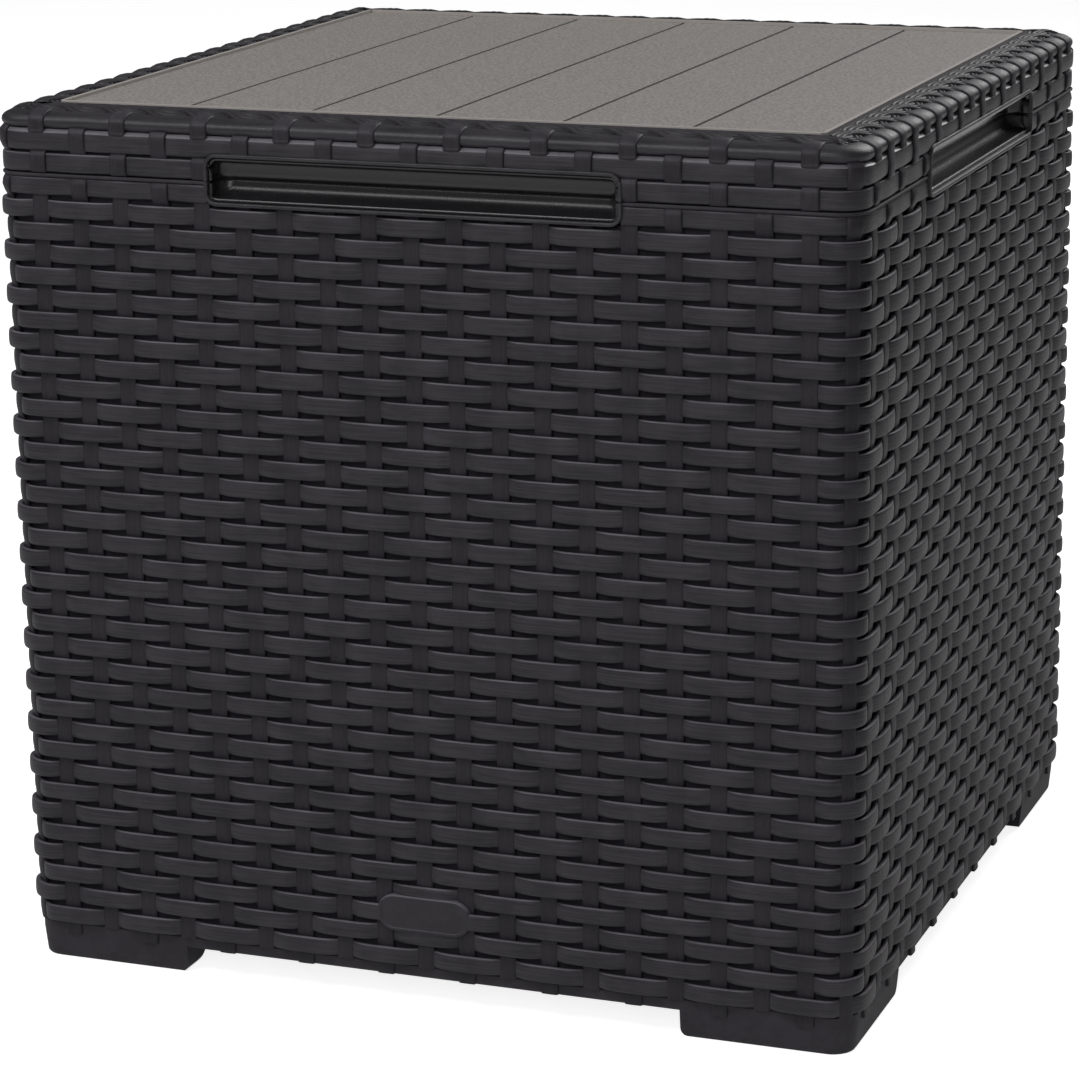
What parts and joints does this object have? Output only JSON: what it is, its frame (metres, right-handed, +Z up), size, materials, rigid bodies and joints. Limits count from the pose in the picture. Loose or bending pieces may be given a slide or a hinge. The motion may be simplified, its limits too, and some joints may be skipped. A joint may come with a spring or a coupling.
{
  "type": "propane tank cover table",
  "caption": "Square resin wicker box with a lift-off plank table top, made to stand round a portable gas tank, with finger recesses in the lid seam and corner feet.",
  "frame": {"origin": "middle of the footprint, on the ground", "axes": "+Z up, +X to the right, front face with the plaque towards -Y"},
  "size_m": [0.552, 0.552, 0.548],
  "materials": {
    "wicker_resin": "satin moulded resin with fine grain",
    "plaque_resin": "satin moulded resin",
    "floor_resin": "matte moulded resin",
    "plank_resin": "matte moulded resin with pebble grain"
  },
  "bodies": {
    "box": {"front_panel": "wicker_resin", "back_panel": "wicker_resin", "left_panel": "wicker_resin", "right_panel": "wicker_resin", "floor_panel": "floor_resin", "front_plaque": "plaque_resin"},
    "lid": {"lid_rim": "wicker_resin", "lid_plank_top": "plank_resin"}
  },
  "joints": [
    {"name": "lid_lift", "type": "slide", "parent": "box", "child": "lid", "axis": [0, 0, 1], "range_m": [0, 0.25]}
  ]
}
